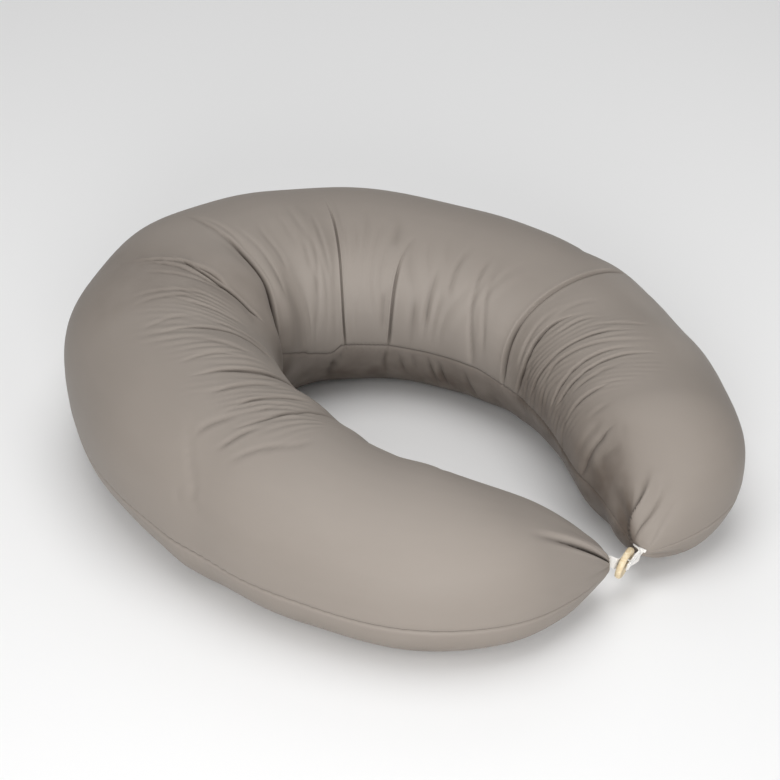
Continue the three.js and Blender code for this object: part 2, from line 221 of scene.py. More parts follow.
# Each crease runs round the tube from one turn to another, in degrees over the crown from the outer
# side, and passes four evenly spaced places, in millimetres along the tube from the back's middle.
# It is a sharp valley with a depth and a reach, in a broader dip. The cloth on one side of it may be
# lifted, and rolls off within a length; a lift below nothing is on the near side.
CREASES = np.array([
    (92, 200, -31, -57, -94, -109, 6, 1.8, 6, 2.6, 7),
    (132, 206, -63, -90, -105, -110, 3.6, 2.8, 4, 0, 7),
    (66, 112, -22, -26, -33, -42, 1.7, 2.4, 0, 0.9, 6),
    (70, 156, -24, -25, -46, -80, 1.7, 2, 0, 1, 6),
    (92, 154, -12, -17, -30, -60, 1.4, 2.2, 0, 0.6, 6),
    (96, 142, 22, 6, 4, -16, 1, 2.4, 0, 0, 6),
    (82, 148, -92, -111, -132, -148, 5.4, 1.4, 4, 1.8, 4),
    (58, 122, -100, -102, -103, -127, 3.4, 1.5, 1, 2.6, 5),
    (66, 122, -115, -107, -118, -126, 2.5, 1.6, 0, 2.3, 4),
    (70, 122, -121, -123, -128, -134, 1.7, 1.7, 0, 1, 4),
    (68, 112, -160, -154, -153, -157, 1.7, 1.8, 0, 0.8, 5),
    (70, 107, -171, -164, -161, -163, 1.7, 1.8, 0, 0.8, 5),
    (88, 134, -166, -176, -185, -190, 1.8, 1.8, 0, 0.8, 5),
    (72, 102, -204, -200, -196, -197, 1.4, 2, 0, 0.6, 6),
    (78, 150, -217, -216, -224, -240, 2.8, 1.8, 3, 1.4, 6),
    (102, 150, -203, -209, -218, -224, 2.2, 1.4, 0, 1, 4),
    (86, 124, -237, -240, -256, -269, 1.8, 2.6, 0, 0.8, 6),
    (80, 112, -261, -262, -266, -275, 2.2, 1.8, 0, 1, 6),
    (78, 158, -279, -294, -306, -314, 3.8, 1.9, 3, 2.2, 8),
    (73, 122, -302, -312, -320, -337, 2.4, 1.9, 1, 1, 6),
    (78, 128, -334, -337, -347, -358, 2.6, 1.8, 1, 0.8, 6),
    (52, 84, -332, -332, -338, -345, 1.8, 2.8, 0, 0.4, 6),
    (88, 108, -350, -352, -354, -356, 1.2, 2, 0, 0.4, 5),
    (70, 152, -352, -367, -376, -386, 3.6, 1.9, 3, -1.4, 8),
    (52, 86, -353, -360, -364, -374, 2.2, 2.4, 0, -0.6, 6),
    (50, 86, -372, -379, -389, -402, 1.5, 2.6, 0, -0.4, 6),
    (68, 96, -391, -396, -408, -413, 1.2, 2.6, 0, 0, 6),
    (120, 184, -428, -432, -430, -426, 2, 2.6, 2, 0, 6),
    (124, 188, -476, -474, -480, -486, 1.8, 2.6, 2, 0, 6),
    (118, 186, -532, -530, -526, -528, 2.2, 2.6, 2, 0, 6),
    (116, 142, 57, 57, 56, 54, 0.9, 2.4, 0, 0, 6),
    (112, 160, 69, 71, 66, 55, 1.3, 2.2, 0, 0.4, 5),
    (96, 147, 82, 83, 86, 85, 1.5, 2, 0, 0.5, 5),
    (86, 193, 100, 104, 102, 105, 4.4, 0.7, 3, 0.8, 5),
    (80, 140, 107, 111, 112, 112, 1.6, 1.7, 0, 0.4, 5),
    (188, 214, 106, 94, 82, 58, 2.6, 2.4, 0, -0.8, 5),
    (92, 128, 178, 179, 182, 188, 1.2, 5, 0, 0, 6),
    (108, 136, 204, 199, 195, 193, 1.1, 2.6, 0, -0.5, 6),
    (122, 193, 197, 193, 192, 185, 4.4, 1, 3, -2.2, 4),
    (144, 184, 184, 180, 179, 178, 1.8, 2.2, 0, 0, 5),
    (188, 212, 187, 181, 178, 181, 2.8, 1.8, 0, -0.6, 5),
    (150, 190, 223, 223, 223, 216, 1.6, 3, 0, 0.4, 6),
    (122, 176, 240, 242, 241, 241, 1.9, 2.6, 1, 0.6, 8),
    (102, 152, 270, 265, 265, 269, 1.7, 2.6, 0, 0.6, 8),
    (101, 190, 297, 297, 310, 323, 1.9, 2.2, 2, 0.7, 9),
    (108, 176, 315, 314, 329, 342, 1.5, 2.4, 0, 0.6, 8),
    (189, 222, 84, 84, 82, 78, 2.4, 2.8, 0, 0, 5),
    (189, 214, 203, 204, 206, 209, 3, 2, 0, 0.6, 5),
    (189, 206, 222, 223, 224, 226, 2.2, 2, 0, 0.4, 5),
    (188, 220, 245, 247, 250, 252, 3.6, 2.2, 0, 0.8, 5),
    (188, 222, 262, 264, 267, 272, 3.8, 2.4, 0, 0.8, 5),
    (188, 222, 307, 309, 312, 316, 3.4, 2.6, 0, 0.5, 5),
    (43, 192, 381, 384, 381, 378, 2.6, 1.4, 2, -3, 22),
    (128, 192, 380, 380, 380, 377, 2.4, 1.5, 2, -0.6, 5),
    (88, 126, 434, 420, 416, 412, 1.2, 1.8, 0, 0, 5),
    (120, 174, 410, 405, 405, 403, 2.2, 1.5, 0, -1, 4),
    (106, 192, 434, 418, 415, 402, 4.4, 1.6, 3, -2, 5),
    (98, 132, 453, 441, 437, 434, 1.8, 1.5, 0, -0.8, 4),
    (76, 114, 474, 474, 462, 463, 1.6, 1.6, 0, -0.8, 4),
    (86, 184, 486, 468, 455, 438, 2.7, 1.5, 0, -1, 4),
    (88, 162, 499, 486, 472, 466, 2.4, 1.5, 0, -1, 4),
    (93, 176, 508, 499, 496, 493, 2.9, 1.4, 1, -1.2, 4),
    (82, 170, 522, 513, 510, 503, 2.9, 1.4, 2, -1.2, 4),
    (102, 152, 527, 525, 523, 519, 2.2, 1.5, 0, -0.8, 4),
    (116, 162, 546, 542, 538, 534, 2.7, 1.5, 0, -1.2, 5),
    (124, 150, 571, 570, 568, 565, 1.2, 2.2, 0, -0.5, 5),
    (124, 190, 602, 598, 596, 590, 2.6, 3.2, 6, -1.4, 10),
    (122, 168, 622, 621, 617, 612, 1.3, 4, 2, -0.8, 9),
    (134, 180, 585, 583, 580, 574, 1.6, 3, 2, -0.8, 7),
    (156, 192, 428, 427, 427, 426, 1.4, 1.8, 0, 0.3, 4),
    (160, 192, 450, 450, 449, 448, 1.3, 1.7, 0, 0.3, 4),
    (154, 190, 468, 469, 470, 470, 1.6, 1.8, 0, 0.3, 4),
    (160, 192, 480, 480, 479, 478, 1.3, 1.7, 0, 0.3, 4),
    (158, 190, 514, 515, 515, 517, 1.5, 1.8, 0, 0.3, 4),
    (162, 192, 530, 531, 532, 533, 1.4, 1.8, 0, 0.3, 4),
], dtype=[(name, float) for name in (
    "start", "stop", "first", "second", "third", "last", "depth", "reach", "dip", "lift", "roll")])
# The deep creases that start above the seam draw the mesh's columns along with them, a gap apart.
GUIDES = np.sort(CREASES[(CREASES["depth"] >= 2.55) & (CREASES["start"] < 130)], order="third")
GUIDE_GAP = 4.0
DIP_REACH = 17.0
# Broad slack places and full ones, where the stuffing lies unevenly: a place along the tube and round
# it, how deep, and how far it reaches each way. A full one has a depth below nothing.
HOLLOWS = np.array([
    (-50, 50, -5.5, 45, 35),
    (-130, 28, -5.0, 45, 35),
    (-190, 130, 3.0, 26, 40),
    (-262, 338, 2.5, 25, 24),
    (-333, 330, -5.0, 32, 24),
    (-590, 325, -3.5, 38, 24),
    (-668, 325, 3.0, 20, 34),
    (345, 100, 3.0, 26, 50),
    (366, 54, -3.0, 26, 28),
    (454, 45, 4.0, 28, 28),
    (597, 0, -3.0, 34, 30),
    (655, 205, -4.0, 18, 34),
    (60, 95, -2.0, 40, 40),
    (-60, 130, -2.0, 24, 40),
    (480, 75, -2.0, 40, 30),
], dtype=[(name, float) for name in ("at", "around", "depth", "along", "round")])
# The cloth between the creases is puckered into fine ripples. A zone of them has its ends along the
# tube and round it, the ripples' pitch and height, and how far they slant along for a degree round.
RIPPLES = np.array([
    (-412, -138, 68, 134, 9.0, 2.1, -0.7),
    (388, 566, 80, 190, 8.0, 1.4, -0.5),
    (15, 350, 92, 190, 23, 1.9, 0.0),
], dtype=[(name, float) for name in ("first", "last", "start", "stop", "pitch", "height", "slant")])
# The gathers at the ends: where each meets its tip, how far it swings from there and over what
# length, its depth, half its width in degrees and its length. A ridge has a depth below nothing.
NEAR_GATHERS = np.array([
    (24, 41, 26, 9.5, 6, 84),
    (47, 26, 26, -4.0, 8, 78),
    (106, 0, 20, 2.2, 14, 50),
    (154, 0, 20, 3, 13, 54),
    (212, 0, 20, 4, 15, 56),
    (300, 0, 20, 2.5, 18, 46),
    (8, 0, 20, 1.5, 12, 42),
], dtype=[(name, float) for name in ("around", "swing", "settle", "depth", "spread", "reach")])
FAR_GATHERS = np.array([
    (190, -86, 6, 7.0, 9, 31),
    (178, -86, 6, -9.0, 6, 40),
    (140, -62, 6, 3.4, 7, 34),
    (108, -40, 6, -2.0, 8, 36),
    (10, 44, 6, 1.2, 12, 34),
    (168, 0, 20, 8, 28, 80),
    (316, 0, 20, 3, 17, 42),
], dtype=NEAR_GATHERS.dtype)
BROAD = 20


def smooth_shares(t):
    """Shares of a start, the slope there, an end and its slope, at a part of the way between them."""
    return 2 * t**3 - 3 * t**2 + 1, t**3 - 2 * t**2 + t, 3 * t**2 - 2 * t**3, t**3 - t**2


def between(angle, column):
    """A smooth value between the stations, through each station's own."""
    known, value = STATIONS["angle"], STATIONS[column]
    step = np.diff(known)
    slope = np.diff(value) / step
    inner = (slope[:-1] * step[1:] + slope[1:] * step[:-1]) / (step[1:] + step[:-1])
    tangent = np.concatenate([slope[:1], inner, slope[-1:]])
    i = np.clip(np.searchsorted(known, angle) - 1, 0, len(step) - 1)
    t = (angle - known[i]) / step[i]
    start, leaving, end, arriving = smooth_shares(t)
    ends = start * value[i] + end * value[i + 1]
    return ends + step[i] * (leaving * tangent[i] + arriving * tangent[i + 1])


angles = np.arange(STATIONS["angle"][0], STATIONS["angle"][-1], 0.1)
line_x = between(angles, "radius") * np.sin(np.radians(angles))
line_y = between(angles, "radius") * np.cos(np.radians(angles))
walked = np.concatenate([[0.0], np.cumsum(np.hypot(np.diff(line_x), np.diff(line_y)))])
walked -= np.interp(0.0, angles, walked)
heading = np.unwrap(np.arctan2(np.gradient(line_y, walked), np.gradient(line_x, walked)))
NEAR_TIP, FAR_TIP = walked[0], walked[-1]


def ease(value, start, end):
    t = np.clip((value - start) / (end - start), 0, 1)
    return t * t * (3 - 2 * t)


def within(value, start, full, fade, stop):
    return ease(value, start, full) * (1 - ease(value, fade, stop))


def bell(off, reach):
    return np.exp(-(off / reach) ** 2)


def crease_place(crease, around):
    """Where a crease's line crosses each turn round the tube, and how fast it moves along there."""
    length = crease["stop"] - crease["start"]
    places = [crease[k] for k in ("first", "second", "third", "last")]
    bend = np.polyfit([0, 1 / 3, 2 / 3, 1], places, 3)
    share = np.clip((around - crease["start"]) / length, -0.1, 1.1)
    place = np.polyval(bend, share)
    place = place + (np.polyval(bend, -0.1) - place) * ease(around, 225, 330)
    return place, np.polyval(np.polyder(bend), share) / length


def crease_strength(crease, around):
    """How much of a crease shows at a turn round the tube: it opens slowly and closes sooner."""
    start, stop = crease["start"], crease["stop"]
    opens, closes = min(26, 0.4 * (stop - start)), min(12, 0.35 * (stop - start))
    return within(around, start, start + opens, stop - closes, stop)


def wandered(at, around):
    """Where an even turn round the tube lies once the inner seam and the cloth beside it wander."""
    aside = np.interp(at, SEAM_WANDER["at"], SEAM_WANDER["aside"])
    return around + aside * bell(around - INNER_SEAM, WANDER_REACH)


def dip_depth(at, around):
    """The broad dips round the deep creases, and the slack and full places of the stuffing."""
    depth = 0
    for crease in CREASES:
        if crease["dip"]:
            off = at - crease_place(crease, around)[0]
            depth = depth + crease["dip"] * crease_strength(crease, around) * bell(off, DIP_REACH)
    for hollow in HOLLOWS:
        turn = (around - hollow["around"] + 540) % 360 - 180
        reach = bell(at - hollow["at"], hollow["along"]) * bell(turn, hollow["round"])
        depth = depth + hollow["depth"] * reach
    return depth


def gather_depth(gathers, from_tip, around):
    """The gathers at one end: sharp valleys between lips, and rounded ridges."""
    depth = 0
    for gather in gathers:
        back = np.clip(from_tip / gather["reach"], 0, 1)
        place = gather["around"] + gather["swing"] * (1 - np.exp(-from_tip / gather["settle"]))
        turn = np.abs((around - place + 540) % 360 - 180) / gather["spread"]
        along = np.maximum(np.sin(np.pi * np.sqrt(back)), 0) ** 1.2
        valley = np.exp(-2 * turn) - 0.22 * np.exp(-5 * (turn - 1.2) ** 2)
        sharp = gather["depth"] > 0 and gather["spread"] < BROAD
        depth = depth + gather["depth"] * along * (valley if sharp else np.exp(-turn**2))
    return depth


def tube_points(at, around, inward, line=(line_x, line_y, heading)):
    """Points of the tube's skin, in millimetres, with an inward depth taken off."""
    angle = np.interp(at, walked, angles)
    facing = np.interp(at, walked, line[2]) + math.pi / 2
    length, fullness, tip_level = (
        np.where(at < 0, NEAR_END[k], FAR_END[k]) for k in ("length", "fullness", "level"))
    from_tip = np.clip(np.where(at < 0, at - NEAR_TIP, FAR_TIP - at) / length, 0, 1)
    swell = (1 - (1 - from_tip) ** 2) ** (1 / fullness)
    width = TIP_WIDTH + (between(angle, "width") - TIP_WIDTH) * swell
    height = TIP_HEIGHT + (between(angle, "height") - TIP_HEIGHT) * swell
    level = WIDEST_LEVEL * height + (tip_level - WIDEST_LEVEL * TIP_HEIGHT) * (1 - swell)
    cosine, sine = np.cos(np.radians(around)), np.sin(np.radians(around))
    out = np.sign(cosine) * np.abs(cosine) ** (2 / ROUNDNESS) * width / 2
    share = np.where(sine > 0, 1 - WIDEST_LEVEL, WIDEST_LEVEL + PRESSED_IN)
    up = np.sign(sine) * np.abs(sine) ** (2 / ROUNDNESS) * share * height
    pull = 1 - np.minimum(inward / np.hypot(out, up), 0.45)
    x = np.interp(at, walked, line[0]) + np.cos(facing) * out * pull
    y = np.interp(at, walked, line[1]) + np.sin(facing) * out * pull
    z = np.maximum(level + up * pull, 0)
    return np.stack([x, y, z], axis=-1)


# The stuffed form. A looser mesh of it is blown up as cloth: its cut is longer inside the bend than
# the bend leaves room for, so the cloth there gathers between the folds, as the real one does.
SOFT_COLUMNS, SOFT_ROWS = 200, 64
CUT_BEND, CUT_DIPS = 0.85, 0.3
HELD_FOOT, HELD_TIPS = 3.0, 14.0
BLOWN_FRAMES = 20
STUFFED_CLOTH = {
    "quality": 5, "mass": 0.02,
    "tension_stiffness": 25, "compression_stiffness": 25, "shear_stiffness": 8, "bending_stiffness": 0.4,
    "tension_damping": 1, "compression_damping": 1, "shear_damping": 1, "air_damping": 1,
    "use_pressure": True, "uniform_pressure_force": 20.0, "vertex_group_mass": "held",
}
MOST_MOVED = 9.0
FINE_COLUMNS = 760
SHOWN_ROWS, LOWER_ROWS = 84, 26
CROWDING, CROWD_REACH = 6.0, 3.2
TIP_CROWDING, TIP_REACH = 0.3, 14.0
RIPPLE_CROWDING = 0.14
SEAM_ROWS = np.array([-6, -4, -2.6, -1.5, -0.7, 0, 0.7, 1.5, 2.6, 4, 6])


def corners_of(mesh):
    co = np.empty(len(mesh.vertices) * 3)
    mesh.vertices.foreach_get("co", co)
    return co.reshape(-1, 3)


def smooth_mesh(name, points, faces):
    mesh = bpy.data.meshes.new(name)
    mesh.from_pydata(points, [], faces)
    mesh.polygons.foreach_set("use_smooth", [True] * len(mesh.polygons))
    mesh.update()
    return mesh


def grid_mesh(name, points):
    """A closed mesh through a grid of points in metres, columns along it and rows round it."""
    columns, rows = points.shape[:2]
    i, j = np.meshgrid(np.arange(columns - 1), np.arange(rows), indexing="ij")
    here, after = i * rows + j, i * rows + (j + 1) % rows
    quads = np.stack([here, after, after + rows, here + rows], axis=-1).reshape(-1, 4).tolist()
    row = np.arange(rows)
    first, last = columns * rows, columns * rows + 1
    fan = np.stack([np.full(rows, first), (row + 1) % rows, row], axis=-1).tolist()
    end = (columns - 1) * rows
    fan += np.stack([np.full(rows, last), end + row, end + (row + 1) % rows], axis=-1).tolist()
    middles = [points[0].mean(axis=0), points[-1].mean(axis=0)]
    return smooth_mesh(name, np.concatenate([points.reshape(-1, 3), middles]).tolist(), quads + fan)


def cut_line():
    """The middle line as the cloth was cut: less bent than the stuffed tube, and a little longer."""
    bend = np.abs(np.gradient(heading, walked))
    half = between(angles, "width") / 2
    step = np.diff(walked) * ((1 + bend * half) / (1 + CUT_BEND * bend * half))[1:]
    turned = heading * CUT_BEND
    x = np.concatenate([[0.0], np.cumsum(np.cos(turned[1:]) * step)])
    y = np.concatenate([[0.0], np.cumsum(np.sin(turned[1:]) * step)])
    return x, y, turned


def blown_up(at, around, points):
    """How far the stuffing moves each point of the looser mesh."""
    mesh = grid_mesh("stuffing", points * MM)
    soft = put("stuffing", mesh)
    soft.shape_key_add(name="Basis")
    cut = soft.shape_key_add(name="cut")
    cut_points = tube_points(at, around, dip_depth(at, around) * CUT_DIPS, cut_line())
    cut_points = np.concatenate([cut_points.reshape(-1, 3), cut_points[[0, -1]].mean(axis=1)])
    cut.data.foreach_set("co", (cut_points * MM).ravel())
    held = soft.vertex_groups.new(name="held")
    ends = np.minimum(at - NEAR_TIP, FAR_TIP - at) < HELD_TIPS
    fixed = np.flatnonzero(((points[..., 2] < HELD_FOOT) | ends).ravel()).tolist()
    held.add(fixed + [at.size, at.size + 1], 1.0, "REPLACE")
    cloth = soft.modifiers.new("cloth", "CLOTH")
    for setting, value in STUFFED_CLOTH.items():
        setattr(cloth.settings, setting, value)
    cloth.settings.rest_shape_key = cut
    cloth.settings.effector_weights.gravity = 0
    cloth.point_cache.frame_start = 1
    cloth.point_cache.frame_end = BLOWN_FRAMES
    for number in range(1, BLOWN_FRAMES + 1):
        bpy.context.scene.frame_set(number)
    done = soft.evaluated_get(bpy.context.evaluated_depsgraph_get())
    moved = corners_of(done.data)[:at.size].reshape(points.shape) / MM - points
    bpy.context.scene.frame_set(1)
    bpy.data.objects.remove(soft)
    bpy.data.meshes.remove(mesh)
    return moved


def read_smoothly(values, at, around):
    """Values of the looser mesh, read smoothly at places along the tube and turns round it."""
    along = (at - NEAR_TIP) / (FAR_TIP - NEAR_TIP) * (SOFT_COLUMNS - 1)
    turn = around / 360 * SOFT_ROWS
    first, second = np.floor(along).astype(int), np.floor(turn).astype(int)
    weights = []
    for t in (along - first, turn - second):
        weights.append(((-t + 2 * t**2 - t**3) / 2, (2 - 5 * t**2 + 3 * t**3) / 2,
                        (t + 4 * t**2 - 3 * t**3) / 2, (t**3 - t**2) / 2))
    total = 0
    for i in range(4):
        column = np.clip(first + i - 1, 0, SOFT_COLUMNS - 1)
        for j in range(4):
            share = (weights[0][i] * weights[1][j])[..., None]
            total = total + share * values[column, (second + j - 1) % SOFT_ROWS]
    return total


def fine_rows():
    """Places round the tube: a close set at each seam, close on the sides that show, wider below."""
    inner, outer = INNER_SEAM + SEAM_ROWS, OUTER_SEAM + SEAM_ROWS
    above = np.linspace(outer[-1] - 360, inner[0], SHOWN_ROWS)[1:-1]
    below = np.linspace(inner[-1], outer[0], LOWER_ROWS)[1:-1]
    return np.sort(np.concatenate([above, inner, below, outer]) % 360)


def fine_columns(around):
    """Places along the tube for each row of the finished surface.

    They are closer together at the deep creases and among the ripples, and follow the creases."""
    home = GUIDES["third"]
    even = np.linspace(NEAR_TIP, FAR_TIP, 6000)
    close = np.zeros_like(even)
    for place in home:
        close = np.maximum(close, bell(even - place, CROWD_REACH))
    for tip in (NEAR_TIP, FAR_TIP):
        close = np.maximum(close, TIP_CROWDING * bell(even - tip, TIP_REACH))
    for zone in RIPPLES[:2]:
        close = np.maximum(close, RIPPLE_CROWDING * ((even > zone["first"]) & (even < zone["last"])))
    reached = np.cumsum(1 + CROWDING * close)
    columns = np.interp(np.linspace(reached[0], reached[-1], FINE_COLUMNS), reached, even)
    ends = [NEAR_TIP], [FAR_TIP]
    known = np.concatenate([ends[0], home, ends[1]])
    gaps = GUIDE_GAP * np.arange(len(home))
    lines = []
    for turn in around:
        place = np.array([crease_place(guide, turn)[0] for guide in GUIDES])
        turns = wandered(place, turn)
        place = np.array([crease_place(guide, lain)[0] for guide, lain in zip(GUIDES, turns)])
        place = np.maximum.accumulate(place - gaps) + gaps
        lines.append(np.interp(columns, known, np.concatenate([ends[0], place, ends[1]])))
    return np.stack(lines, axis=1)


def crease_moves(at, around, along, round_it):
    """How far the creases move the skin out of its face and along the tube, in millimetres.

    The true lengths of a millimetre along the middle line and of a degree round it are given."""
    out, aside = np.zeros_like(at), np.zeros_like(at)
    for crease in CREASES:
        place, lean = crease_place(crease, around)
        off = (at - place) * along / np.hypot(1, lean * along / round_it)
        strength = crease_strength(crease, around)
        near = np.hypot(off, 0.35) / crease["reach"]
        valley = np.exp(-near**1.25)
        lips = bell(near - 2.2, 0.9)
        raised = off * np.sign(crease["lift"])
        lift = np.abs(crease["lift"]) * ease(raised, -0.8, 1.2)
        lift = lift * np.exp(-np.maximum(raised, 0) / crease["roll"])
        out += strength * (lift - crease["depth"] * (valley - 0.12 * lips))
        aside += strength * np.clip(crease["lift"] / 6, -0.3, 0.3) * crease["depth"] * valley
    return out, aside


def ripple_height(at, around):
    """Fine ripples with broad crests and narrow valleys, some strong and some hardly there."""
    height = 0
    for zone in RIPPLES:
        place = at - zone["slant"] * (around - 110)
        phase = math.pi * place / zone["pitch"]
        phase = phase + 1.3 * np.sin(place / 29 + around / 17) + 0.8 * np.sin(place / 12.5 - around / 23)
        crest = np.sqrt(np.sin(phase) ** 2 + 0.03) - 0.6
        uneven = 0.55 + 0.3 * np.sin(place / 17 + around / 9) + 0.25 * np.sin(place / 37 - around / 14)
        begun = around - zone["start"] - 5 * np.sin(place / 6.1) - 5 * np.sin(place / 15.7 + 1)
        inside = within(at, zone["first"], zone["first"] + 30, zone["last"] - 30, zone["last"])
        inside = inside * ease(begun, 0, 26) * (1 - ease(around, zone["stop"] - 20, zone["stop"]))
        height = height + zone["height"] * inside * np.clip(uneven, 0, 1) * crest
    return height


def lumps(at, around):
    """The uneven lie of the stuffing, a millimetre or so high and a hand's breadth apart."""
    turn = np.radians(around)
    return (0.6 * np.sin(at / 23 + 1.3 * np.sin(2 * turn) + 0.5) + 0.5 * np.sin(at / 41 + 3 * turn + 2)
            + 0.4 * np.sin(at / 14 - 2 * turn + 1.5 * np.sin(at / 57)))


def seam_depth(at, around):
    """The sewn line as a narrow groove, with the small puckers that its stitches draw up."""
    depth = 0
    for seam in SEAMS:
        phase = seam["phase"]
        off = np.abs((around - seam["around"] + 180) % 360 - 180)
        groove = SEAM_DEPTH * bell(off, SEAM_HALF)
        drift = 1.6 * np.sin(at / 41 + phase) + 1.1 * np.sin(at / 17.3 + 2 * phase)
        strength = 0.55 + 0.3 * np.sin(at / 63 + phase) + 0.15 * np.sin(at / 23)
        drawn = np.sin(2 * math.pi * at / seam["pitch"] + drift) * bell(off, PUCKER_REACH)
        rolled = SEAM_ROLL * bell(off - ROLL_OFF, ROLL_REACH)
        depth = depth + groove + PUCKER_DEPTH * strength * drawn - rolled
    return depth


def lengths(vectors):
    return np.maximum(np.linalg.norm(vectors, axis=-1, keepdims=True), 1e-9)


def across_rows(points):
    return np.roll(points, -1, axis=1) - np.roll(points, 1, axis=1)


soft_at, soft_around = np.meshgrid(
    np.linspace(NEAR_TIP, FAR_TIP, SOFT_COLUMNS), np.arange(SOFT_ROWS) * 360 / SOFT_ROWS, indexing="ij")
soft_points = tube_points(soft_at, soft_around, dip_depth(soft_at, soft_around))
rows = fine_rows()
fine_at = fine_columns(rows)
even_around = np.broadcast_to(rows, fine_at.shape)
fine_around = wandered(fine_at, even_around)
gathered = gather_depth(NEAR_GATHERS, fine_at - NEAR_TIP, fine_around)
gathered = gathered + gather_depth(FAR_GATHERS, FAR_TIP - fine_at, fine_around)
inward = dip_depth(fine_at, fine_around) + gathered + seam_depth(fine_at, even_around)
away_from_tips = ease(np.minimum(fine_at - NEAR_TIP, FAR_TIP - fine_at), 10, 60)
surface = tube_points(fine_at, fine_around, inward - lumps(fine_at, fine_around) * away_from_tips)
moved = blown_up(soft_at, soft_around, soft_points)
size = lengths(moved)
moved = moved * (MOST_MOVED * np.tanh(size / MOST_MOVED) / size)
surface = surface + read_smoothly(moved, fine_at, fine_around)
step = soft_at[1, 0] - soft_at[0, 0]
along = lengths(np.gradient(soft_points, axis=0)) / step
round_it = lengths(across_rows(soft_points)) * SOFT_ROWS / 720
along, round_it = (read_smoothly(each, fine_at, fine_around)[..., 0] for each in (along, round_it))
creased, aside = crease_moves(fine_at, fine_around, np.maximum(along, 0.2), np.maximum(round_it, 0.2))
creased = creased + ripple_height(fine_at, fine_around)
smooth = tube_points(fine_at, fine_around, dip_depth(fine_at, fine_around))
on_foot = ease(smooth[..., 2], 1, 9)[..., None]
way = np.gradient(smooth, axis=0)
outward = np.cross(across_rows(smooth), way)
creased_out = outward / lengths(outward) * creased[..., None]
surface = surface + on_foot * (creased_out + way / lengths(way) * aside[..., None])
surface[..., 2] = np.maximum(surface[..., 2], 0)
flat_box = (surface.min(axis=(0, 1)) + surface.max(axis=(0, 1))) / 2
cad_low, cad_high = (np.array(corner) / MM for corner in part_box("cushion"))
shift = (cad_low + cad_high) / 2 - flat_box
shift[2] = 0
surface = surface + shift

cushion = put("cushion_cover", grid_mesh("cushion_cover", surface * MM))
# The painted light and shade on the cloth. Painted shade darkens it down in the creases, pleats and
# seam grooves, low down all round and more on the inside, in the tight bend and below the inner seam.
# Painted highlights pale it beside the seams and where the light falls most. Each soft patch has its edges
# along the tube and round it, and how strongly it is painted.
PLEAT_DARKNESS = 0.6
DARKEST_DEPTH = 4.0
SEAM_SHADE = {"dark": 0.75, "half": 0.6, "pale": 0.9, "pale_off": 1.6, "pale_half": 0.9}
OUTER_LOW_SHADE = 0.2
LOW_EDGES, BEND_EDGES = (6, 62), (40, 150)
START, END = NEAR_TIP - 2, FAR_TIP + 2
PATCH = [(name, float) for name in (
    "first", "near_full", "far_full", "last", "start", "low_full", "high_full", "stop", "share")]
# Painted shade low down: full on the inside, less on the outer side.
INSIDE = np.array((START, NEAR_TIP, FAR_TIP, END, 120, 200, 230, 300, 1 - OUTER_LOW_SHADE), dtype=PATCH)
# Painted shade on the inner wall of the tight bend, which faces away from the light.
TIGHT_BEND = np.array((380, 440, FAR_TIP, END, 85, 180, 230, 300, 0.85), dtype=PATCH)
# Painted shade in soft patches at the far tip and on the left shoulder.
SHADE_PATCHES = np.array([
    (605, 645, FAR_TIP, END, 108, 135, 220, 280, 0.45),
    (-190, -150, -100, -50, 25, 60, 205, 230, 0.26),
    (-190, -150, -100, -50, 150, 175, 205, 230, 0.312),
], dtype=PATCH)
# Painted shade on the cloth below the inner seam.
UNDER_SEAM = {"start": INNER_SEAM - 0.5, "full": INNER_SEAM + 1.5, "ends": (215, 260), "share": 0.4}
# Painted light in soft patches on the back's inner wall, the near crown and the right shoulder.
LIT_PATCHES = np.array([
    (-10, 40, 350, 395, 112, 150, 172, 200, 1.0),
    (START, NEAR_TIP, -440, -340, 5, 60, 130, 170, 0.5),
    (340, 400, 480, 560, 10, 30, 60, 85, 0.9),
], dtype=PATCH)


def patch(row):
    """How much of a soft patch lies on each point of the cover."""
    *edges, share = row.tolist()
    return share * within(fine_at, *edges[:4]) * within(fine_around, *edges[4:])


# Painted shade down in the pleats, creases and seam grooves, and painted highlight on the raised cloth
# beside the creases and beside each seam.
pleats = [gathers[gathers["spread"] < BROAD] for gathers in (NEAR_GATHERS, FAR_GATHERS)]
pleated = gather_depth(pleats[0], fine_at - NEAR_TIP, fine_around)
pleated = pleated + gather_depth(pleats[1], FAR_TIP - fine_at, fine_around)
hollow = np.clip((pleated * PLEAT_DARKNESS - creased) / DARKEST_DEPTH, -1, 1)
for seam in SEAMS["around"]:
    below = math.copysign(SEAM_SHADE["pale_off"], 270 - seam)
    hollow = np.maximum(hollow, SEAM_SHADE["dark"] * bell(even_around - seam, SEAM_SHADE["half"]))
    beside = bell(even_around - seam - below, SEAM_SHADE["pale_half"])
    hollow = hollow - SEAM_SHADE["pale"] * beside
# Painted shade low on the cover, in the tight bend, below the inner seam and in the soft shade patches.
off_floor = surface[..., 2]
shaded = (1 - ease(off_floor, *LOW_EDGES)) * (OUTER_LOW_SHADE + patch(INSIDE))
shaded = np.maximum(shaded, patch(TIGHT_BEND) * (1 - ease(off_floor, *BEND_EDGES)))
under = ease(even_around, UNDER_SEAM["start"], UNDER_SEAM["full"])
under = under * (1 - ease(fine_around, *UNDER_SEAM["ends"]))
shaded = np.clip(shaded + UNDER_SEAM["share"] * under + sum(patch(row) for row in SHADE_PATCHES), 0, 1)
